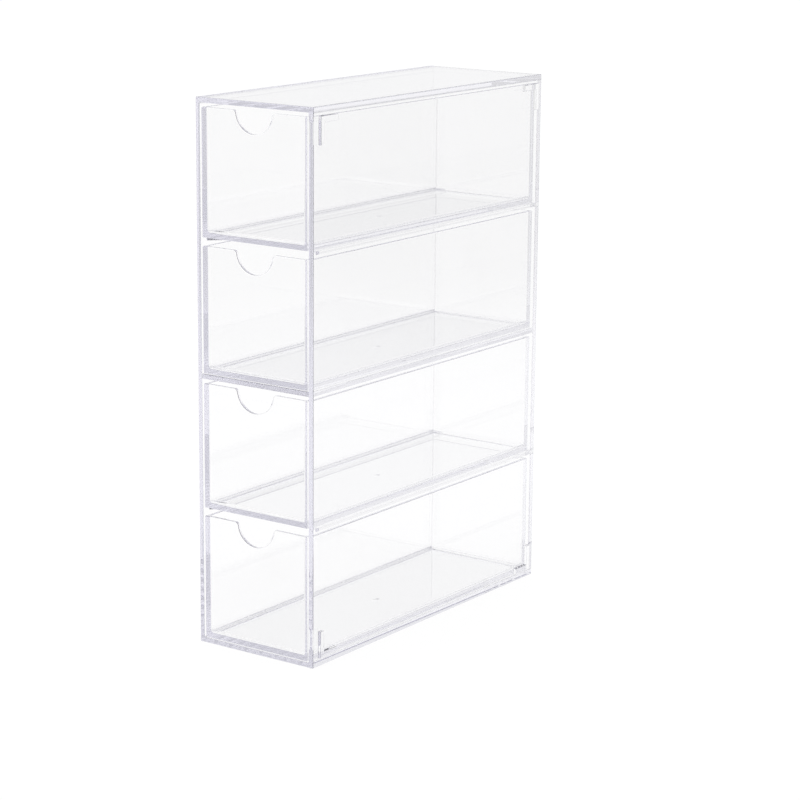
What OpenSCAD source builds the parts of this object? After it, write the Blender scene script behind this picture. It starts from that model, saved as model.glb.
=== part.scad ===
// Clear upright organizer with four drawers for folded sunglasses.
// A moulded four-wall sleeve is closed by a bonded back panel and stiffened by a bonded
// middle shelf. Two pairs of side rails and the two plates carry the drawers.
// The front faces -Y, +X is the right-hand side seen from the front, and the base stands
// on z = 0 with the origin at the centre of its footprint.

/* [Case] */
// Width over the sleeve's side walls
case_w = 65; // [56:0.5:90]
// Depth of the sleeve from front to back
case_d = 180; // [150:1:220]
// Thickness of the sleeve's four walls
case_wall = 2.4; // [1.6:0.1:3]
// Radius of the sleeve's outer edges
case_edge_r = 0.5; // [0.3:0.1:1.2]
// Radius of the long corners inside the sleeve
case_inner_r = 0.8; // [0.4:0.1:1.5]
// Thickness of the back panel
back_t = 2; // [1.5:0.1:3]
// Thickness of the middle shelf
shelf_t = 2.4; // [1.6:0.1:4]
// Radius of the middle shelf's front edges
shelf_edge_r = 0.7; // [0.2:0.1:0.8]
// Thickness of the bond line between glued pieces
bond_gap = 0.05; // [0.02:0.01:0.1]

/* [Side rails] */
// Height of a rail
rail_t = 1.6; // [1.4:0.1:3]
// How far a rail stands in from its side wall
rail_w = 6; // [3:0.5:9]
// Length of the slanted lead-in at a rail's front end
rail_lead = 6; // [2:0.5:12]
// Distance from the case's front to the front end of a rail
rail_setback = 3.5; // [0.5:0.5:6]

/* [Stacking ribs] */
// Height of the corner ribs above the right-hand wall
rib_h = 1.2; // [0.6:0.1:2]
// Width of a rib's two arms
rib_w = 3; // [2:0.1:4]
// Length of a rib's two arms
rib_arm = 12.6; // [8:0.2:20]
// Distance from a rib to the edges of the wall
rib_inset = 3.9; // [2:0.1:8]
// Radius of a rib's corners
rib_corner_r = 0.5; // [0.2:0.1:0.9]

/* [Drawers] */
// Height of a drawer
drawer_h = 57.8; // [40:0.2:80]
// Thickness of a drawer's four walls
drawer_wall = 1.9; // [1.4:0.1:3]
// Thickness of a drawer's floor
drawer_floor_t = 1.7; // [1.4:0.1:3]
// Radius of a drawer's upright outer corners
drawer_corner_r = 0.3; // [0.2:0.1:3]
// Radius of a drawer's lower outer edges
drawer_edge_r = 0.4; // [0.2:0.1:1.4]
// Radius of the upright corners inside a drawer
drawer_inner_r = 0.5; // [0.3:0.1:5]
// Radius of the fillet between a drawer's walls and its floor
drawer_floor_r = 2.4; // [0.3:0.1:5]
// Radius of the finger notch in a drawer's front
notch_r = 10; // [7:0.5:14]
// Radius of the notch's rounded lips
notch_lip_r = 2; // [0.5:0.5:4]
// Diameter of the gate dimple under a drawer's floor
gate_d = 5; // [4:0.5:12]
// Depth of the gate dimple
gate_depth = 0.25; // [0.15:0.05:0.8]

/* [Clearances] */
// Gap on each side between a drawer and the sleeve
side_gap = 0.9; // [0.2:0.1:1.2]
// Gap between a drawer and what it glides on
glide_gap = 0.3; // [0.2:0.05:0.6]
// Gap above a drawer
head_gap = 1.8; // [1:0.1:4]
// Gap behind a closed drawer
rear_gap = 1; // [0.5:0.1:3]

/* [Hidden] */
$fn = 64;
clear_plastic = [0.9, 0.92, 0.97, 0.4];

// Each drawer glides on a carrier: the sleeve's base, a pair of rails or the middle shelf
function carrier_t(level) =
    level == "bottom" ? case_wall :
    level == "second" ? shelf_t : rail_t;
function level_below(level) =
    level == "top" ? "second" :
    level == "second" ? "third" : "bottom";
function carrier_z(level) =
    level == "bottom" ? 0 : drawer_z(level_below(level)) + drawer_h + head_gap;
function drawer_z(level) = carrier_z(level) + carrier_t(level) + glide_gap;

case_h = drawer_z("top") + drawer_h + head_gap + case_wall;
bay_w = case_w - 2 * case_wall;
bay_h = case_h - 2 * case_wall;
front_y = -case_d / 2;
back_y = case_d / 2;

drawer_w = bay_w - 2 * side_gap;
drawer_l = case_d - back_t - rear_gap;
drawer_mid_y = front_y + drawer_l / 2;
shelf_l = case_d - back_t - bond_gap;
overcut = 1;

// Rectangle about the origin with quarter-circle corners
module rounded_rect(w, h, r) {
    square([w - 2 * r, h], center = true);
    square([w, h - 2 * r], center = true);
    for (sx = [-1, 1], sy = [-1, 1])
        translate([sx * (w / 2 - r), sy * (h / 2 - r)])
            circle(r = r);
}

// Carries an outline drawn in X and Z along the Y axis, centred on y = 0
module along_y(length) {
    rotate([90, 0, 0])
        linear_extrude(height = length, center = true)
            children();
}

// Carries an outline drawn in Y and Z along the X axis, centred on x = 0
module along_x(length) {
    rotate([90, 0, 90])
        linear_extrude(height = length, center = true)
            children();
}

// Block standing on z = 0 with all twelve edges rounded
module rounded_block(w, l, h, r) {
    intersection() {
        linear_extrude(height = h)
            rounded_rect(w, l, r);
        translate([0, 0, h / 2])
            along_y(l)
                rounded_rect(w, h, r);
        translate([0, 0, h / 2])
            along_x(w)
                rounded_rect(l, h, r);
    }
}

// Block standing on z = 0 with rounded upright corners and rounded lower edges
module tub(w, l, h, corner_r, edge_r) {
    intersection() {
        linear_extrude(height = h)
            rounded_rect(w, l, corner_r);
        translate([0, 0, h])
            along_y(l)
                rounded_rect(w, 2 * h, edge_r);
        translate([0, 0, h])
            along_x(w)
                rounded_rect(l, 2 * h, edge_r);
    }
}

// L-shaped rib outline with its outer corner at the origin and its arms along +X and +Y
module rib_outline() {
    translate([rib_arm / 2, rib_w / 2])
        rounded_rect(rib_arm, rib_w, rib_corner_r);
    translate([rib_w / 2, rib_arm / 2])
        rounded_rect(rib_w, rib_arm, rib_corner_r);
}

// Four corner ribs on the right-hand wall, rooted half-way into its thickness
module stacking_ribs() {
    root = case_wall / 2;
    for (sy = [-1, 1], sz = [-1, 1])
        translate([(case_w - root + rib_h) / 2, 0, case_h / 2])
            along_x(root + rib_h)
                translate([sy * (case_d / 2 - rib_inset), sz * (case_h / 2 - rib_inset)])
                    scale([-sy, -sz])
                        rib_outline();
}

module case_sleeve() {
    color(clear_plastic)
        union() {
            difference() {
                rounded_block(case_w, case_d, case_h, case_edge_r);
                translate([0, 0, case_h / 2])
                    along_y(case_d + 2 * overcut)
                        rounded_rect(bay_w, bay_h, case_inner_r);
            }
            stacking_ribs();
        }
}

// Back panel set into the sleeve's rear, notched where the rails pass through it
module back_panel() {
    panel_w = bay_w - 2 * bond_gap;
    panel_h = bay_h - 2 * bond_gap;
    color(clear_plastic)
        difference() {
            translate([0, back_y - back_t / 2, case_h / 2])
                along_y(back_t)
                    rounded_rect(panel_w, panel_h, case_inner_r - bond_gap);
            for (level = ["third", "top"], side = [-1, 1])
                translate([side * bay_w / 2, back_y, carrier_z(level) + rail_t / 2])
                    cube(
                        [2 * (rail_w + 2 * bond_gap), 3 * back_t, rail_t + 2 * bond_gap],
                        center = true
                    );
        }
}

module middle_shelf() {
    shelf_mid_y = front_y + shelf_l / 2;
    color(clear_plastic)
        translate([0, shelf_mid_y, carrier_z("second") + shelf_t / 2])
            along_x(bay_w - 2 * bond_gap) {
                rounded_rect(shelf_l, shelf_t, shelf_edge_r);
                translate([shelf_l / 4, 0])
                    square([shelf_l / 2, shelf_t], center = true);
            }
}

// Rail on one side wall, slanted at its front end so that the drawer finds its way in
module side_rail(level, side) {
    wall_x = side * (bay_w / 2 - bond_gap);
    inner_x = wall_x - side * rail_w;
    start_y = front_y + rail_setback;
    color(clear_plastic)
        translate([0, 0, carrier_z(level)])
            linear_extrude(height = rail_t)
                polygon([
                    [wall_x, start_y], [inner_x, start_y + rail_lead],
                    [inner_x, back_y], [wall_x, back_y]
                ]);
}

// Half-round finger notch with rounded lips, its centre on the drawer's top edge
module notch_outline() {
    lip_x = sqrt(pow(notch_r + notch_lip_r, 2) - pow(notch_lip_r, 2));
    share = notch_r / (notch_r + notch_lip_r);
    difference() {
        union() {
            circle(r = notch_r);
            polygon([
                [-lip_x, overcut], [lip_x, overcut], [lip_x, 0],
                [lip_x * share, -notch_lip_r * share],
                [-lip_x * share, -notch_lip_r * share], [-lip_x, 0]
            ]);
        }
        for (side = [-1, 1])
            translate([side * lip_x, -notch_lip_r])
                circle(r = notch_lip_r);
    }
}

// Shallow round dimple that the moulding gate leaves under the floor
module gate_dimple() {
    ball_r = (pow(gate_d / 2, 2) + pow(gate_depth, 2)) / (2 * gate_depth);
    translate([0, 0, gate_depth - ball_r])
        sphere(r = ball_r);
}

module drawer(level) {
    inner_w = drawer_w - 2 * drawer_wall;
    inner_l = drawer_l - 2 * drawer_wall;
    color(clear_plastic)
        translate([0, drawer_mid_y, drawer_z(level)])
            difference() {
                tub(drawer_w, drawer_l, drawer_h, drawer_corner_r, drawer_edge_r);
                translate([0, 0, drawer_floor_t])
                    tub(inner_w, inner_l, drawer_h, drawer_inner_r, drawer_floor_r);
                translate([0, -drawer_l / 2, drawer_h])
                    along_y(3 * drawer_wall)
                        notch_outline();
                gate_dimple();
            }
}

case_sleeve();
back_panel();
middle_shelf();
side_rail("top", -1);  // upper_left_rail
side_rail("top", 1);  // upper_right_rail
side_rail("third", -1);  // lower_left_rail
side_rail("third", 1);  // lower_right_rail
drawer("top");  // top_drawer
drawer("second");  // second_drawer
drawer("third");  // third_drawer
drawer("bottom");  // bottom_drawer
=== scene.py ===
"""Clear organizer with four drawers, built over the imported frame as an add-on that is run as a script."""
import math

import bpy
import numpy as np
from bpy.props import FloatProperty, FloatVectorProperty, PointerProperty
from bpy.types import Operator, Panel, PropertyGroup
from mathutils import Matrix, Vector


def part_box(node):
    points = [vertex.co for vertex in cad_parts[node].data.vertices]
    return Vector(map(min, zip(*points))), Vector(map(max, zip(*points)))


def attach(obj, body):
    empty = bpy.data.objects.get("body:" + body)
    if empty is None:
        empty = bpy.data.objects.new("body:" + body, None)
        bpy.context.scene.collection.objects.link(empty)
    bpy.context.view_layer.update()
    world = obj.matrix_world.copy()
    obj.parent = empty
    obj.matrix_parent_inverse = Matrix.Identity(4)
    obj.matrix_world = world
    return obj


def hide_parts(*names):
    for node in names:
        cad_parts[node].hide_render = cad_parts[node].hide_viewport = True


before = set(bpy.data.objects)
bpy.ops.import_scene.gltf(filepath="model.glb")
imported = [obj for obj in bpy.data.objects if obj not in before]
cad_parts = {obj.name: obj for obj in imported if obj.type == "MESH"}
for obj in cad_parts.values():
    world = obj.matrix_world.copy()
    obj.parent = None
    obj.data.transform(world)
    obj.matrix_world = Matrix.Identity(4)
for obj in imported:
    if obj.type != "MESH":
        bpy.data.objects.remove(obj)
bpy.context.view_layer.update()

bl_info = {
    "name": "Clear drawer organizer",
    "version": (1, 0, 0),
    "blender": (4, 5, 0),
    "location": "View3D > Sidebar > Organizer",
    "description": "Builds a clear case with four sliding drawers and its studio",
    "category": "Add Mesh",
}

MM = 0.001
DRAWERS = ("top_drawer", "second_drawer", "third_drawer", "bottom_drawer")
RAILS = ("upper_left_rail", "upper_right_rail", "lower_left_rail", "lower_right_rail")
TINY = 0.02 * MM

# Noise sizes per metre: slow waves of each kind of piece, smears, scratches and the shelf's mottled edge
SLEEVE_WAVES = 14.0
SHEET_WAVES = 9.0
DRAWER_WAVES = 18.0
SMEARS = 42.0
SCRATCHES = 260.0
MOTTLES = 520.0

# Parts of those noises that show, the scratches' shape and what smears, scratches and mottles do
SMEAR_RANGE = (0.52, 0.78)
SMEAR_SHADE = 0.995
SCRATCH_RANGE = (0.66, 0.74)
SCRATCH_STRETCH = (1.0, 0.12, 1.0)
SCRATCH_SHARE = 1.5
MOTTLE_ROUGHNESS = 0.5
MOTTLE_HEIGHT = 0.25 * MM

# The room's right and left half: levels at degrees above the horizon, and the blue in what isn't white
ROOM_RIGHT = ((0, 0.7), (10, 0.5), (35, 0.55), (60, 0.83), (75, 1.0))
ROOM_LEFT = ((0, 0.9), (13, 0.8), (35, 0.78), (60, 0.86), (75, 1.0))
ROOM_RIGHT_BLUE = 0.06
ROOM_LEFT_BLUE = 0.08
ROOM_LEFTWARD = (-0.96, 0.29, 0.0)
ROOM_TURN = (-0.5, 0.8)

# Floor plate, sensor in millimetres, and how often light may turn in the plastic
FLOOR_HALF = 6.0
FLOOR_DROP = 0.1 * MM
SENSOR_WIDTH = 36.0
CLEAR_BOUNCES = 128
OPEN_BOUNCES = 16


# Properties that a user would change

def length(name, description, default_mm, low_mm=0.0, high_mm=500.0):
    """A length property with its default and range written in millimetres."""
    return FloatProperty(
        name=name, description=description, default=default_mm * MM,
        min=low_mm * MM, max=high_mm * MM, unit="LENGTH", precision=5)


class ORGANIZER_PG_case(PropertyGroup):
    wall: length("Wall", "Thickness of the sleeve's four walls", 2.4, 1.0, 4.0)
    edge: length("Outer edge", "Radius of the sleeve's outer edges", 0.5, 0.1, 1.2)
    corner: length("Inner corner", "Radius of the long corners inside the sleeve", 0.8, 0.2, 1.5)
    rim: length("Inner rim", "Radius where the sleeve's rim turns into the bay", 0.15, 0.05, 0.4)
    rib_height: length("Rib height", "Height of the corner ribs above the right-hand wall", 1.2, 0.3, 2.0)
    rib_width: length("Rib width", "Width of a rib's two arms", 3.0, 1.5, 5.0)
    rib_arm: length("Rib arm", "Length of a rib's two arms", 12.6, 6.0, 25.0)
    rib_inset: length("Rib inset", "Distance from a rib to the edges of the wall", 3.9, 2.0, 10.0)
    rib_corner: length("Rib corner", "Radius of a rib's corners", 0.5, 0.1, 0.9)
    shelf_nose: length("Shelf nose", "Radius of the middle shelf's front edges", 0.7, 0.1, 1.0)
    arris: length("Arris", "Radius of the cut edges of the plates and rails", 0.12, 0.02, 0.3)
    rail_reach: length("Rail notch", "Depth of the back panel's notches for the rails", 6.05, 2.0, 12.0)
    rail_lead: length("Rail lead-in", "Length of the slanted front end of a rail", 6.0, 1.0, 12.0)
    bond: length("Bond line", "Gap left between bonded pieces", 0.05, 0.01, 0.2)


class ORGANIZER_PG_drawer(PropertyGroup):
    wall: length("Wall", "Thickness of a drawer's four walls", 1.9, 1.0, 4.0)
    floor: length("Floor", "Thickness of a drawer's floor", 1.7, 1.0, 4.0)
    corner: length("Corner", "Radius of the upright outer corners", 0.3, 0.1, 3.0)
    edge: length("Lower edge", "Radius of the lower outer edges", 0.4, 0.1, 1.4)
    inner: length("Inner corner", "Radius of the upright corners inside a drawer", 0.5, 0.2, 5.0)
    fillet: length("Floor fillet", "Radius between a drawer's walls and its floor", 2.4, 0.2, 5.0)
    rim: length("Rim", "Radius of the rim's two edges", 0.6, 0.05, 0.9)
    notch: length("Notch", "Radius of the finger notch", 10.0, 5.0, 15.0)
    lip: length("Notch lip", "Radius of the notch's rounded lips", 2.0, 0.5, 4.0)
    gate: length("Gate mark", "Diameter of the gate dimple under the floor", 5.0, 2.0, 12.0)
    gate_depth: length("Gate depth", "Depth of the gate dimple", 0.25, 0.05, 0.8)


class ORGANIZER_PG_plastic(PropertyGroup):
    absorb: FloatVectorProperty(
        name="Absorption", description="Light lost per metre of clear plastic, for red, green and blue",
        default=(1.16, 1.21, 0.74), min=0.0, max=50.0, size=3)
    ior: FloatProperty(
        name="Index of refraction", description="How strongly the clear plastic bends light",
        default=1.49, min=1.3, max=1.7)
    clearness: FloatProperty(
        name="Clearness", description="Share of the light that passes without a milky haze",
        default=1.0, min=0.8, max=1.0, subtype="FACTOR")
    tint: FloatVectorProperty(
        name="Surface tint", description="Colour of the clear plastic's surface",
        default=(1.0, 1.0, 1.0), min=0.0, max=1.0, size=3, subtype="COLOR")
    smear: FloatProperty(
        name="Smears", description="Roughness that handling adds to the polished faces",
        default=0.005, min=0.0, max=0.2, subtype="FACTOR")
    wave: length("Waviness", "Height of the moulded walls' slow waves", 0.001, 0.0, 2.0)


class ORGANIZER_PG_studio(PropertyGroup):
    azimuth: FloatProperty(
        name="Azimuth", description="Camera direction round the object, from the front to the right",
        default=math.radians(35.4273), subtype="ANGLE")
    elevation: FloatProperty(
        name="Elevation", description="Camera direction above the horizon",
        default=math.radians(13.17), subtype="ANGLE")
    roll: FloatProperty(
        name="Roll", description="Turn of the camera about its own axis",
        default=math.radians(0.4972), subtype="ANGLE")
    eye: FloatVectorProperty(
        name="Camera place", description="Where the camera stands",
        default=(0.6809, -0.9364, 0.3727), size=3, subtype="TRANSLATION", unit="LENGTH")
    lens: FloatProperty(
        name="Lens", description="Focal length in millimetres on a 36 mm wide sensor",
        default=113.48, min=10.0, max=400.0)
    floor_glow: FloatProperty(
        name="Floor glow",
        description="Share of the white floor that doesn't depend on the light on it",
        default=0.96, min=0.0, max=1.0, subtype="FACTOR")
    floor_colour: FloatVectorProperty(
        name="Floor colour", description="Colour of the part of the floor that takes light and shadow",
        default=(0.08, 0.08, 0.08), min=0.0, max=1.0, size=3, subtype="COLOR")
    # Painted shade on the floor: glossy and clear rays see it fall to this level at the right rear and the
    # left front, within the distance that follows
    painted_dim_level: FloatProperty(
        name="Dim floor",
        description="Level of the floor at the right rear and the left front, as the plastic shows it",
        default=0.76, min=0.0, max=1.0, subtype="FACTOR")
    painted_dim_reach: FloatProperty(
        name="Dim floor's distance",
        description="How far to the side and to the rear the floor has its dim level",
        default=0.68, min=0.1, max=6.0, subtype="DISTANCE", unit="LENGTH")
    room_share: FloatProperty(
        name="White in the plastic",
        description="Share of the white background that glossy and clear faces show",
        default=0.4, min=0.0, max=1.0, subtype="FACTOR")


# Meshes from grids of points

def rounded_ring(half_u, half_v, radius, sides, steps=6):
    """Points and outward directions round a rectangle with quarter-circle corners.

    The walk is counter-clockwise from the lower end of the right side. Each corner is its centre
    plus radius times (cos a, sin a) for a over a quarter turn. sides holds the extra points of the
    right, top, left and bottom side, as distances along the side's own axis in walking order.
    """
    turn = np.linspace(0.0, math.pi / 2, steps + 1)
    centres = ((1, 1), (-1, 1), (-1, -1), (1, -1))
    points, normals = [], []
    for quarter, (su, sv) in enumerate(centres):
        along = np.asarray(sides[quarter], float)
        angle = quarter * math.pi / 2
        face = np.array([math.cos(angle), math.sin(angle)]).round(12)
        flat = np.abs(face) * (half_u, half_v) * np.sign(face)
        points.append(flat + along[:, None] * (1 - np.abs(face)))
        normals.append(np.tile(face, (len(along), 1)))
        spread = np.column_stack((np.cos(angle + turn), np.sin(angle + turn)))
        points.append((su * (half_u - radius), sv * (half_v - radius)) + radius * spread)
        normals.append(spread)
    return np.vstack(points), np.vstack(normals)


def quarter_round(radius, steps=5):
    """Cosines and sines of a quarter turn, with radius times (1 - cos) and radius times (1 - sin)."""
    angle = np.linspace(0.0, math.pi / 2, steps + 1)
    return np.cos(angle), np.sin(angle), radius * (1 - np.cos(angle)), radius * (1 - np.sin(angle))


def band_faces(rings, around, close_rings=False, flip=False):
    """Quads between each ring and the next, closed round every ring.

    close_rings also joins the last ring to the first, and flip turns the faces round.
    """
    first = np.arange(rings if close_rings else rings - 1)
    low = first[:, None] * around
    high = (first[:, None] + 1) % rings * around
    here = np.arange(around)[None, :]
    there = (here + 1) % around
    corners = (low + here, low + there, high + there, high + here)
    quads = np.stack(corners[::-1] if flip else corners, axis=-1)
    return quads.reshape(-1, 4).tolist()


def add_piece(name, points, normals, faces, material):
    """A smooth mesh object whose shading normals are the ones worked out with the surface."""
    mesh = bpy.data.meshes.new(name)
    mesh.from_pydata(points.tolist(), [], faces, shade_flat=False)
    mesh.validate()
    size = np.linalg.norm(normals, axis=1, keepdims=True)
    mesh.normals_split_custom_set_from_vertices((normals / size).tolist())
    mesh.materials.append(material)
    mesh.update()
    piece = bpy.data.objects.new(name, mesh)
    bpy.context.scene.collection.objects.link(piece)
    return piece


def seat(piece, body, node):
    """Puts a finished piece on its body, in the place of its CAD node."""
    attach(piece, body)
    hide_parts(node)


def filleted_outline(corners, radii, steps=5):
    """Outline of a counter-clockwise polygon with an arc at each corner, and its outward directions.

    An arc of radius r touches both sides at r tan(turn / 2) from the corner. Its direction swings from
    the first side's outward direction by the signed turn, and a hollow corner's arc bends the other way.
    """
    corners = np.asarray(corners, float)
    radii = np.asarray(radii, float)[:, None]
    into = corners - np.roll(corners, 1, axis=0)
    into /= np.linalg.norm(into, axis=1, keepdims=True)
    out = np.roll(into, -1, axis=0)
    turn = np.arctan2(into[:, 0] * out[:, 1] - into[:, 1] * out[:, 0], (into * out).sum(1))[:, None]
    bend = np.sign(turn)
    face = np.column_stack((into[:, 1], -into[:, 0]))
    start = corners - into * radii * np.tan(np.abs(turn) / 2)
    centre = start - bend * radii * face
    angle = np.arctan2(face[:, 1:], face[:, :1]) + turn * np.linspace(0.0, 1.0, steps + 1)
    normals = np.stack((np.cos(angle), np.sin(angle)), axis=-1)
    points = centre[:, None, :] + (bend * radii)[:, None, :] * normals
    return points.reshape(-1, 2), normals.reshape(-1, 2)


def add_plate(name, corners, radii, low, high, arris, axes, material):
    """Plate with an outline in two axes and a thickness along the third, its cut edges eased.

    Rings of the outline climb from low to high. At each end they step in by arris (1 - cos a) while the
    height follows arris (1 - sin a), and the two flat faces close the ends.
    """
    outline, out = filleted_outline(corners, radii)
    cos, sin, step_in, drop = quarter_round(arris, 3)
    inset = np.concatenate((step_in[::-1], step_in))
    height = np.concatenate((low + drop[::-1], high - drop))
    side = np.concatenate((cos[::-1], cos))
    up = np.concatenate((-sin[::-1], sin))
    plan = outline[None] - inset[:, None, None] * out[None]
    rings, around = plan.shape[:2]
    level = np.broadcast_to(height[:, None, None], (rings, around, 1))
    points = np.concatenate((plan, level), axis=2).reshape(-1, 3)
    lift = np.broadcast_to(up[:, None, None], (rings, around, 1))
    normals = np.concatenate((side[:, None, None] * out[None], lift), axis=2).reshape(-1, 3)
    faces = band_faces(rings, around)
    faces.append(list(range(around))[::-1])
    faces.append(list(range((rings - 1) * around, rings * around)))
    order = np.argsort(axes)
    return add_piece(name, points[:, order], normals[:, order], faces, material)


# Sleeve with its corner ribs

def rib_profile(case):
    """Distances from a rib's outline and the heights there.

    A quarter circle at the root and one at the top are joined by a steep drafted side.
    """
    root = 0.3 * MM
    draft = 0.1 * MM
    top = 0.3 * MM
    _, _, step_in, drop = quarter_round(1.0)
    foot = np.column_stack((root * drop, root * step_in))
    crown = np.column_stack((-draft - top * step_in, case.rib_height - top * drop))
    table = np.vstack((foot, crown))
    return table[:, 0], table[:, 1]


def rib_height(y, z, centre, half, case, profile):
    """Height of the ribs at points of the right-hand wall.

    Folding both axes about the wall's centre leaves one L. Its distance is the smaller distance to
    its two rounded bars, and the profile turns that distance into a height.
    """
    outer = np.array(half) - case.rib_inset
    p = np.stack((np.abs(y - centre[0]), np.abs(z - centre[1])), axis=-1)
    distance = np.full(p.shape[:-1], 1e9)
    for bar in ((case.rib_arm, case.rib_width), (case.rib_width, case.rib_arm)):
        half_bar = np.array(bar) / 2
        q = np.abs(p - (outer - half_bar)) - half_bar + case.rib_corner
        away = np.linalg.norm(np.maximum(q, 0), axis=-1) + np.minimum(q.max(-1), 0) - case.rib_corner
        distance = np.minimum(distance, away)
    order = np.argsort(profile[0])
    return np.interp(distance, profile[0][order], profile[1][order])


def rib_lines(half, case, profile):
    """Grid lines across one axis of the wall, gathered at the three edges of each rib.

    The lines follow the profile's distances, with one more on each side, mirrored about the centre.
    """
    outer = half - case.rib_inset
    margin = 0.05 * MM
    off = np.concatenate((profile[0], [profile[0].max() + margin, profile[0].min() - margin]))
    lines = np.concatenate((outer + off, outer - case.rib_width - off, outer - case.rib_arm - off))
    return np.unique(np.concatenate((lines, -lines)).round(9))


def sleeve_surface(case):
    """The sleeve as one doubly closed grid.

    One way round is the rounded rectangle of the four walls, the other is the wall's own section:
    outer face, rear rim, inner face and front rim, with every edge a small arc. The ribs add their
    height to the outer face of the right-hand wall, and their normals come from its slopes.
    """
    low, high = (np.array(c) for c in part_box("case_sleeve"))
    # The ribs reach past the right-hand wall, so the left-hand one gives the half width
    half_x = -low[0]
    half_y = (high[1] - low[1]) / 2
    half_z = (high[2] - low[2]) / 2
    middle = (low + high) / 2
    profile = rib_profile(case)
    y_lines = rib_lines(half_y, case, profile)
    z_lines = rib_lines(half_z, case, profile)
    sides = (z_lines, (), (), ())

    edge_cos, edge_sin, edge_in, edge_drop = quarter_round(case.edge)
    rim_cos, rim_sin, rim_in, rim_drop = quarter_round(case.rim, 3)
    ones, nils = np.ones(len(y_lines)), np.zeros(len(y_lines))
    rear = half_y - np.concatenate((edge_drop, rim_drop[::-1]))
    rear_in = np.concatenate((edge_in, case.wall - rim_in[::-1]))
    rear_side = np.concatenate((edge_cos, -rim_cos[::-1]))
    rear_up = np.concatenate((edge_sin, rim_sin[::-1]))
    depth = np.concatenate((y_lines, rear, -rear[::-1]))
    inset = np.concatenate((nils, rear_in, rear_in[::-1]))
    side = np.concatenate((ones, rear_side, rear_side[::-1]))
    back = np.concatenate((nils, rear_up, -rear_up[::-1]))
    inward = np.clip((inset - case.edge) / (case.wall - case.edge), 0, 1)
    outer_r = np.maximum(case.edge - inset, TINY)
    inner_r = TINY + (case.corner - TINY) * inward
    radius = np.where(inward > 0, inner_r, outer_r)

    loops = [
        rounded_ring(half_x - step_in, half_z - step_in, corner_r, sides)
        for step_in, corner_r in zip(inset, radius)]
    plan, normal = (np.array(part) for part in zip(*loops))
    rings, around = plan.shape[:2]
    y = np.broadcast_to(depth[:, None], (rings, around)) + middle[1]
    points = np.stack((plan[..., 0], y, plan[..., 1] + middle[2]), axis=-1)
    normals = np.stack((
        side[:, None] * normal[..., 0],
        np.broadcast_to(back[:, None], (rings, around)),
        side[:, None] * normal[..., 1]), axis=-1)

    wall = np.s_[:len(y_lines), :len(z_lines)]
    where = (points[wall][..., 1], points[wall][..., 2])
    field = ((middle[1], middle[2]), (half_y, half_z), case, profile)
    bit = 0.004 * MM
    points[wall][..., 0] += rib_height(*where, *field)
    normals[wall][..., 1] = -(rib_height(where[0] + bit, where[1], *field)
                              - rib_height(where[0] - bit, where[1], *field)) / (2 * bit)
    normals[wall][..., 2] = -(rib_height(where[0], where[1] + bit, *field)
                              - rib_height(where[0], where[1] - bit, *field)) / (2 * bit)
    faces = band_faces(rings, around, close_rings=True, flip=True)
    return points.reshape(-1, 3), normals.reshape(-1, 3), faces


# Drawers

def notch_edge(drawer):
    """Top edge of the front wall: points as sideways place and height from the rim, and directions.

    The edge runs straight, over a lip arc, round the notch's arc about the middle of the rim, and
    over the other lip. The lip's centre is where a lip circle touches both the rim line and the notch.
    """
    reach = drawer.notch + drawer.lip
    lip_x = math.sqrt(reach ** 2 - drawer.lip ** 2)
    touch = math.asin(drawer.lip / reach)
    lip = np.linspace(math.pi / 2, touch, 9)
    lip_n = np.column_stack((np.cos(lip), np.sin(lip)))
    lip_p = (-lip_x, -drawer.lip) + drawer.lip * lip_n
    bowl = np.linspace(math.pi + touch, 1.5 * math.pi, 29)[1:]
    bowl_n = -np.column_stack((np.cos(bowl), np.sin(bowl)))
    bowl_p = -drawer.notch * bowl_n
    half_p = np.vstack((lip_p, bowl_p))
    half_n = np.vstack((lip_n, bowl_n))
    flip = np.array((-1.0, 1.0))
    points = np.vstack((half_p, half_p[-2::-1] * flip))
    normals = np.vstack((half_n, half_n[-2::-1] * flip))
    return points, normals


def drawer_section(drawer, tall):
    """Section of a drawer's wall as six arrays, one value for each ring from lower edge to floor.

    They are the ring's inset, corner radius, height, outward and upward part of its normal, and depth
    below the rim, which only the rim's own rings have. Quarter circles make the lower edge, the rim's
    two edges and the floor fillet, and the corner radius grows evenly through the wall's thickness.
    """
    def rows(*columns):
        """Columns side by side, with single values repeated."""
        return np.column_stack(np.broadcast_arrays(*columns))

    cos, sin, step_in, drop = quarter_round(drawer.edge)
    foot = rows(step_in, drawer.corner - step_in, drop, cos, -sin, np.nan)[::-1]
    cos, sin, step_in, drop = quarter_round(drawer.rim, 4)
    grow = (drawer.inner - drawer.corner) / drawer.wall
    outer = rows(step_in, drawer.corner + grow * step_in, tall - drop, cos, sin, drop)
    inset = drawer.wall - step_in
    inner = rows(inset, drawer.corner + grow * inset, tall - drop, -cos, sin, drop)[::-1]
    cos, sin, step_in, drop = quarter_round(drawer.fillet, 9)
    floor = rows(
        drawer.wall + step_in, drawer.inner - step_in, drawer.floor + drop, -cos, sin, np.nan)
    return np.vstack((foot, outer, inner, floor)).T


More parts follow.
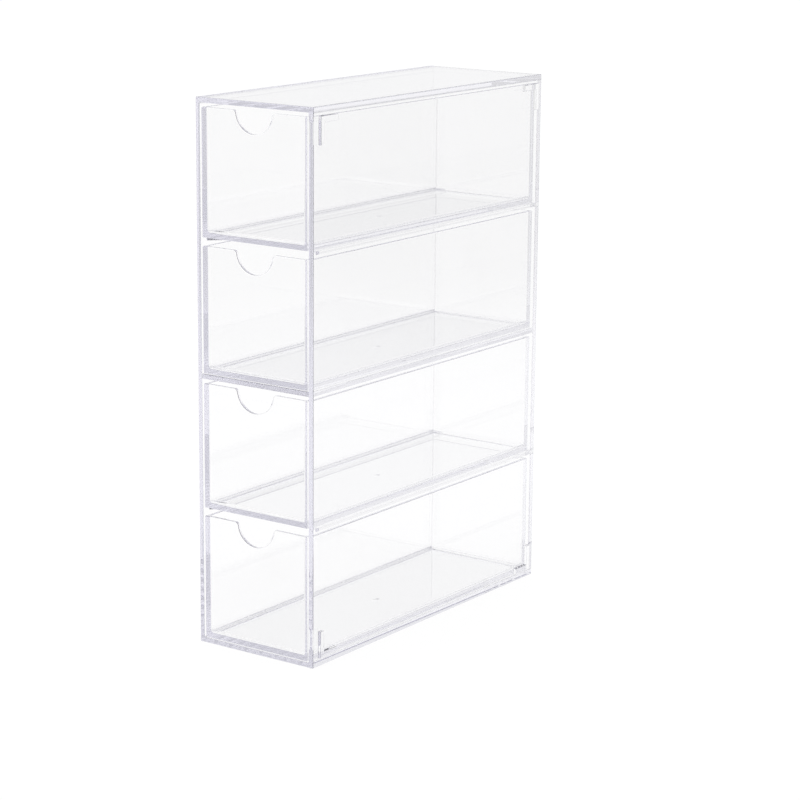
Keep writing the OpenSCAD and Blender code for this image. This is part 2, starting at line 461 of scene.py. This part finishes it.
def drawer_surface(drawer, node):
    """A drawer as one closed skin of rings round its plan.

    From the middle of the underside the rings go out over the gate dimple, round the lower edge, up
    the outer walls, over the rim, down the inner walls and round the inner fillet to the floor. On
    the front wall the rim's rings follow the notch, set back along the edge's own normal.
    """
    low, high = (np.array(c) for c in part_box(node))
    centre = (low + high) / 2
    half = (high - low) / 2
    tall = high[2] - low[2]
    edge_p, edge_n = notch_edge(drawer)
    sides = ((), (), (), edge_p[:, 0])
    steps = 6
    first = 3 * (steps + 1)
    front = np.s_[first:first + len(edge_p)]

    inset, corner_r, height, side, up, depth = drawer_section(drawer, tall)
    loops = [
        rounded_ring(half[0] - step_in, half[1] - step_in, radius, sides, steps)
        for step_in, radius in zip(inset, np.maximum(corner_r, TINY))]
    plan, out = (np.array(part) for part in zip(*loops))
    rings, around = plan.shape[:2]
    points = np.concatenate((plan, np.broadcast_to(height[:, None, None], (rings, around, 1))), axis=2)
    normals = np.concatenate((
        side[:, None, None] * out, np.broadcast_to(up[:, None, None], (rings, around, 1))), axis=2)
    rim = ~np.isnan(depth)
    sunk = edge_p[None] - depth[rim][:, None, None] * edge_n[None]
    points[rim, front, 0] = sunk[..., 0]
    points[rim, front, 2] = tall + sunk[..., 1]
    normals[rim, front, 0] = up[rim][:, None] * edge_n[None, :, 0]
    normals[rim, front, 2] = up[rim][:, None] * edge_n[None, :, 1]

    angle = np.arctan2(plan[0][:, 1], plan[0][:, 0])
    spoke = np.column_stack((np.cos(angle), np.sin(angle)))
    gate_r = drawer.gate / 2
    # The last two rings lie just inside and outside the dimple's rim
    share = np.array([0.25, 0.5, 0.75, 0.97, 1.03])
    dish = np.maximum(1 - share ** 2, 0) * drawer.gate_depth
    slope = np.where(share < 1, -2 * drawer.gate_depth * share / gate_r, 0)
    cap = np.concatenate((
        (share * gate_r)[:, None, None] * spoke[None],
        np.broadcast_to(dish[:, None, None], (len(share), around, 1))), axis=2)
    cap_n = np.concatenate((slope[:, None, None] * spoke[None], -np.ones((len(share), around, 1))), axis=2)

    points = np.concatenate((cap, points)).reshape(-1, 3)
    normals = np.concatenate((cap_n, normals)).reshape(-1, 3)
    rings += len(share)
    faces = band_faces(rings, around)
    here = np.arange(around)
    there = (here + 1) % around
    last = (rings - 1) * around
    under, over = len(points), len(points) + 1
    faces += np.column_stack((there, here, np.full(around, under))).tolist()
    faces += np.column_stack((last + here, last + there, np.full(around, over))).tolist()
    points = np.vstack((points, (0, 0, drawer.gate_depth), (0, 0, drawer.floor)))
    normals = np.vstack((normals, (0, 0, -1), (0, 0, 1)))
    return points + (centre[0], centre[1], low[2]), normals, faces


# Materials

class Wire:
    """A node socket. Arithmetic on it adds Math nodes, and add() puts in any other node."""

    def __init__(self, tree, socket=None):
        self.tree = tree
        self.socket = socket

    def plug(self, target, value):
        if isinstance(value, Wire):
            self.tree.links.new(value.socket, target)
        else:
            target.default_value = value

    def add(self, kind, settings=None, values=None, output=0):
        """A node of a kind: its settings are set first, then its sockets get values or links."""
        node = self.tree.nodes.new(kind)
        for key, value in (settings or {}).items():
            if key == "stops":
                stops = node.color_ramp.elements
                while len(stops) < len(value):
                    stops.new(1.0)
                for stop, (place, colour) in zip(stops, value):
                    stop.position = place
                    stop.color = colour
            else:
                setattr(node, key, value)
        for key, value in (values or {}).items():
            self.plug(node.inputs[key], value)
        return Wire(self.tree, node.outputs[output]) if len(node.outputs) else node

    def math(self, operation, first, second):
        return self.add("ShaderNodeMath", {"operation": operation}, {0: first, 1: second})

    def __add__(self, other):
        return self.math("ADD", self, other)

    __radd__ = __add__

    def __sub__(self, other):
        return self.math("SUBTRACT", self, other)

    def __rsub__(self, other):
        return self.math("SUBTRACT", other, self)

    def __mul__(self, other):
        return self.math("MULTIPLY", self, other)

    __rmul__ = __mul__

    def ramp(self, low, high, to_low=0.0, to_high=1.0):
        """This value taken smoothly from one range to another."""
        return self.add(
            "ShaderNodeMapRange", {"interpolation_type": "SMOOTHSTEP"},
            {0: self, 1: low, 2: high, 3: to_low, 4: to_high})

    def noise(self, scale, detail=2.0, stretch=(1.0, 1.0, 1.0)):
        """Noise over this vector, stretched along the axes."""
        spread = self.add("ShaderNodeVectorMath", {"operation": "MULTIPLY"}, {0: self, 1: stretch})
        return self.add("ShaderNodeTexNoise", {}, {"Vector": spread, "Scale": scale, "Detail": detail})


def clear_plastic(name, look, waves, rough_edge=None):
    """Clear moulding: polished, faintly wavy, with soft smears and hairline scratches.

    The body's absorption is constant, so long paths inside a wall turn its edges grey-violet.
    rough_edge gives the two depths between which a cut front edge turns matt and mottled.
    """
    material = bpy.data.materials.new(name)
    material.use_nodes = True
    tree = material.node_tree
    tree.nodes.clear()
    start = Wire(tree)
    place = start.add("ShaderNodeTexCoord", output=3)
    swell = place.noise(waves, 1.0)
    smear = place.noise(SMEARS, 3.0).ramp(*SMEAR_RANGE)
    scratch = place.noise(SCRATCHES, 1.0, SCRATCH_STRETCH).ramp(*SCRATCH_RANGE)
    rough = smear * look.smear + scratch * (look.smear * SCRATCH_SHARE)
    height = swell * look.wave
    if rough_edge:
        y = place.add("ShaderNodeSeparateXYZ", {}, {0: place}, output=1)
        edge = y.ramp(rough_edge[0], rough_edge[1])
        mottle = place.noise(MOTTLES, 3.0)
        rough = rough + edge * mottle * MOTTLE_ROUGHNESS
        height = height + edge * mottle * MOTTLE_HEIGHT
    bump = start.add("ShaderNodeBump", {}, {"Strength": 1.0, "Distance": 1.0, "Height": height})
    shade = (*(SMEAR_SHADE * c for c in look.tint), 1.0)
    colour = start.add(
        "ShaderNodeMix", {"data_type": "RGBA"}, {0: smear, 6: (*look.tint, 1.0), 7: shade}, output=2)
    shell = start.add("ShaderNodeBsdfPrincipled", {}, {
        "Base Color": colour, "Roughness": rough, "Normal": bump, "IOR": look.ior,
        "Transmission Weight": look.clearness})
    density = 2 * max(look.absorb)
    body = start.add("ShaderNodeVolumeAbsorption", {}, {
        "Color": (*(1 - a / density for a in look.absorb), 1.0), "Density": density})
    start.add("ShaderNodeOutputMaterial", {}, {"Surface": shell, "Volume": body})
    return material


def finish_named(name, *settings):
    """The material of that name, made on first use."""
    return bpy.data.materials.get(name) or clear_plastic(name, *settings)


# Operators

class ORGANIZER_OT_sleeve(Operator):
    """Build the moulded sleeve with its corner ribs"""
    bl_idname = "organizer.sleeve"
    bl_label = "Sleeve"

    def execute(self, context):
        scene = context.scene
        material = finish_named("sleeve_clear_moulding", scene.organizer_plastic, SLEEVE_WAVES)
        piece = add_piece("case_sleeve_shell", *sleeve_surface(scene.organizer_case), material)
        seat(piece, "case", "case_sleeve")
        return {"FINISHED"}


class ORGANIZER_OT_back_panel(Operator):
    """Build the back panel with its notches for the rails"""
    bl_idname = "organizer.back_panel"
    bl_label = "Back panel"

    def execute(self, context):
        scene = context.scene
        case = scene.organizer_case
        material = finish_named("clear_sheet", scene.organizer_plastic, SHEET_WAVES)
        low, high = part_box("back_panel")
        inner = high.x - case.rail_reach
        corners = [(low.z, low.x), (high.z, low.x), (high.z, high.x), (low.z, high.x)]
        radii = [case.corner - case.bond] * 4
        right, left = [], []
        for level in ("lower", "upper"):
            rail_low, rail_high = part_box(level + "_right_rail")
            bottom, top = rail_low.z - case.bond, rail_high.z + case.bond
            left += [(bottom, low.x), (bottom, -inner), (top, -inner), (top, low.x)]
            right += [(bottom, high.x), (bottom, inner), (top, inner), (top, high.x)]
        corners = corners[:1] + left + corners[1:3] + right[::-1] + corners[3:]
        notch_r = case.arris * 1.5
        radii = radii[:1] + [notch_r] * 8 + radii[1:3] + [notch_r] * 8 + radii[3:]
        piece = add_plate(
            "back_panel_sheet", corners, radii, low.y, high.y, case.arris, (2, 0, 1), material)
        seat(piece, "case", "back_panel")
        return {"FINISHED"}


class ORGANIZER_OT_shelf(Operator):
    """Build the middle shelf with its rounded front edge"""
    bl_idname = "organizer.shelf"
    bl_label = "Middle shelf"

    def execute(self, context):
        scene = context.scene
        case = scene.organizer_case
        low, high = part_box("middle_shelf")
        cut_edge = (low.y + case.shelf_nose * 1.2, low.y)
        material = finish_named("shelf_clear_sheet", scene.organizer_plastic, SHEET_WAVES, cut_edge)
        corners = [(low.y, low.z), (high.y, low.z), (high.y, high.z), (low.y, high.z)]
        radii = [case.shelf_nose, case.arris, case.arris, case.shelf_nose]
        piece = add_plate(
            "middle_shelf_sheet", corners, radii, low.x, high.x, case.arris, (1, 2, 0), material)
        seat(piece, "case", "middle_shelf")
        return {"FINISHED"}


class ORGANIZER_OT_rails(Operator):
    """Build the four side rails with their slanted front ends"""
    bl_idname = "organizer.rails"
    bl_label = "Side rails"

    def execute(self, context):
        scene = context.scene
        case = scene.organizer_case
        material = finish_named("clear_sheet", scene.organizer_plastic, SHEET_WAVES)
        for node in RAILS:
            low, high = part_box(node)
            lead = low.y + case.rail_lead
            if "left" in node:
                corners = [(low.x, low.y), (high.x, lead), (high.x, high.y), (low.x, high.y)]
            else:
                corners = [(high.x, low.y), (high.x, high.y), (low.x, high.y), (low.x, lead)]
            radii = [case.arris * 2] * 4
            piece = add_plate(
                node + "_strip", corners, radii, low.z, high.z, case.arris, (0, 1, 2), material)
            seat(piece, "case", node)
        return {"FINISHED"}


class ORGANIZER_OT_drawers(Operator):
    """Build the four drawers with their finger notches"""
    bl_idname = "organizer.drawers"
    bl_label = "Drawers"

    def execute(self, context):
        scene = context.scene
        material = finish_named("drawer_clear_moulding", scene.organizer_plastic, DRAWER_WAVES)
        for node in DRAWERS:
            piece = add_piece(node + "_tray", *drawer_surface(scene.organizer_drawer, node), material)
            seat(piece, node, node)
        return {"FINISHED"}


class ORGANIZER_OT_studio(Operator):
    """Build the pale floor, the soft surrounding light and the camera"""
    bl_idname = "organizer.studio"
    bl_label = "Studio"

    def execute(self, context):
        scene = context.scene
        studio = scene.organizer_studio
        self.floor(scene, studio)
        self.sky(scene, studio)
        self.camera(scene, studio)
        scene.view_settings.view_transform = "Standard"
        scene.cycles.max_bounces = CLEAR_BOUNCES
        scene.cycles.transmission_bounces = CLEAR_BOUNCES
        scene.cycles.glossy_bounces = CLEAR_BOUNCES
        scene.cycles.transparent_max_bounces = OPEN_BOUNCES
        scene.cycles.volume_bounces = 0
        return {"FINISHED"}

    def floor(self, scene, studio):
        """A wide white floor just under the base, which keeps the object's shadow.

        For glossy and clear rays its level is painted shade: it falls with the product of the sideways and
        lengthways distances, so the plastic shows a painted dimmer floor at the right rear and the left
        front.
        The camera sees an even white.
        """
        mesh = bpy.data.meshes.new("floor")
        grid = FLOOR_HALF * np.array([(-1, -1), (1, -1), (1, 1), (-1, 1)])
        mesh.from_pydata(np.column_stack((grid, np.full(4, -FLOOR_DROP))).tolist(), [], [(0, 1, 2, 3)])
        floor = bpy.data.objects.new("floor", mesh)
        scene.collection.objects.link(floor)
        material = bpy.data.materials.new("white_floor")
        material.use_nodes = True
        tree = material.node_tree
        tree.nodes.clear()
        start = Wire(tree)
        place = start.add("ShaderNodeTexCoord", output=3)
        across, along = (
            start.add("ShaderNodeSeparateXYZ", {}, {0: place}, output=axis) for axis in (0, 1))
        seen = start.add("ShaderNodeLightPath", output="Is Camera Ray")
        # Painted shade: for every ray but the camera's, the floor dims towards the right rear and the left
        # front, so the plastic shows a darker floor there
        painted_dimming = (across * along).ramp(0.0, studio.painted_dim_reach ** 2, 1.0, studio.painted_dim_level)
        level = seen + (1 - seen) * painted_dimming
        white = start.add("ShaderNodeCombineColor", {}, {0: level, 1: level, 2: level})
        glow = start.add("ShaderNodeEmission", {}, {"Color": white, "Strength": studio.floor_glow})
        tone = start.add(
            "ShaderNodeMix", {"data_type": "RGBA", "blend_type": "MULTIPLY"},
            {0: 1.0, 6: white, 7: (*studio.floor_colour, 1.0)}, output=2)
        matt = start.add("ShaderNodeBsdfDiffuse", {}, {"Color": tone})
        both = start.add("ShaderNodeAddShader", {}, {0: glow, 1: matt})
        start.add("ShaderNodeOutputMaterial", {}, {"Surface": both})
        mesh.materials.append(material)

    def sky(self, scene, studio):
        """A white room, brighter on the left than on the right, with levels by height above the horizon.

        The camera sees plain white. Glossy and transmitted rays see a share of that white.
        """
        world = bpy.data.worlds.new("studio_room")
        scene.world = world
        world.use_nodes = True
        tree = world.node_tree
        tree.nodes.clear()
        start = Wire(tree)
        way = start.add("ShaderNodeTexCoord", output=0)
        climb = start.add("ShaderNodeSeparateXYZ", {}, {0: way}, output=2)
        share = climb * 0.5 + 0.5
        left = start.add(
            "ShaderNodeVectorMath", {"operation": "DOT_PRODUCT"}, {0: way, 1: ROOM_LEFTWARD}, output=1)
        halves = []
        for levels, blue in ((ROOM_RIGHT, ROOM_RIGHT_BLUE), (ROOM_LEFT, ROOM_LEFT_BLUE)):
            stops = [
                (0.5 + 0.5 * math.sin(math.radians(angle)),
                 (level, level, level + blue * (1 - level), 1.0))
                for angle, level in levels]
            halves.append(start.add("ShaderNodeValToRGB", {"stops": stops}, {0: share}))
        room = start.add(
            "ShaderNodeMix", {"data_type": "RGBA"},
            {0: left.ramp(*ROOM_TURN), 6: halves[0], 7: halves[1]}, output=2)
        seen, gloss, through = (
            start.add("ShaderNodeLightPath", output="Is " + ray + " Ray")
            for ray in ("Camera", "Glossy", "Transmission"))
        plastic = start.math("MAXIMUM", gloss, through) * studio.room_share
        shown = start.math("MAXIMUM", seen, plastic)
        dim = start.add("ShaderNodeBackground", {}, {0: room, 1: 1.0})
        white = start.add("ShaderNodeBackground", {}, {0: (1.0, 1.0, 1.0, 1.0), 1: 1.0})
        both = start.add("ShaderNodeMixShader", {}, {0: shown, 1: dim, 2: white})
        start.add("ShaderNodeOutputWorld", {}, {0: both})

    def camera(self, scene, studio):
        """The photograph's camera, from its direction, roll, place and lens."""
        az, el, roll = studio.azimuth, studio.elevation, studio.roll
        back = Vector((math.sin(az) * math.cos(el), -math.cos(az) * math.cos(el), math.sin(el)))
        across = (-back).cross(Vector((0, 0, 1))).normalized()
        upward = across.cross(-back)
        right = across * math.cos(roll) + upward * math.sin(roll)
        up = upward * math.cos(roll) - across * math.sin(roll)
        data = bpy.data.cameras.new("camera")
        data.lens = studio.lens
        data.sensor_width = SENSOR_WIDTH
        camera = bpy.data.objects.new("camera", data)
        turn = Matrix((right, up, back)).transposed()
        camera.matrix_world = Matrix.Translation(studio.eye) @ turn.to_4x4()
        scene.collection.objects.link(camera)
        scene.camera = camera


class ORGANIZER_PT_panel(Panel):
    """Lists the organizer's pieces and their sizes"""
    bl_label = "Organizer"
    bl_idname = "ORGANIZER_PT_panel"
    bl_space_type = "VIEW_3D"
    bl_region_type = "UI"
    bl_category = "Organizer"

    def draw(self, context):
        layout = self.layout
        for operator in OPERATORS:
            layout.operator(operator.bl_idname)
        for group in GROUPS:
            box = layout.box()
            settings = getattr(context.scene, group)
            for key in settings.bl_rna.properties.keys():
                if key not in ("rna_type", "name"):
                    box.prop(settings, key)


OPERATORS = (
    ORGANIZER_OT_sleeve, ORGANIZER_OT_back_panel, ORGANIZER_OT_shelf, ORGANIZER_OT_rails,
    ORGANIZER_OT_drawers, ORGANIZER_OT_studio)
GROUPS = {
    "organizer_case": ORGANIZER_PG_case,
    "organizer_drawer": ORGANIZER_PG_drawer,
    "organizer_plastic": ORGANIZER_PG_plastic,
    "organizer_studio": ORGANIZER_PG_studio,
}


def register():
    for group in GROUPS.values():
        bpy.utils.register_class(group)
    for cls in (*OPERATORS, ORGANIZER_PT_panel):
        bpy.utils.register_class(cls)
    for name, group in GROUPS.items():
        setattr(bpy.types.Scene, name, PointerProperty(type=group))


def unregister():
    for name in GROUPS:
        delattr(bpy.types.Scene, name)
    for cls in (ORGANIZER_PT_panel, *OPERATORS[::-1]):
        bpy.utils.unregister_class(cls)
    for group in GROUPS.values():
        bpy.utils.unregister_class(group)


def main():
    register()
    bpy.ops.organizer.studio()
    bpy.ops.organizer.sleeve()
    bpy.ops.organizer.back_panel()
    bpy.ops.organizer.shelf()
    bpy.ops.organizer.rails()
    bpy.ops.organizer.drawers()
    bpy.context.view_layer.update()


if __name__ == "__main__":
    main()
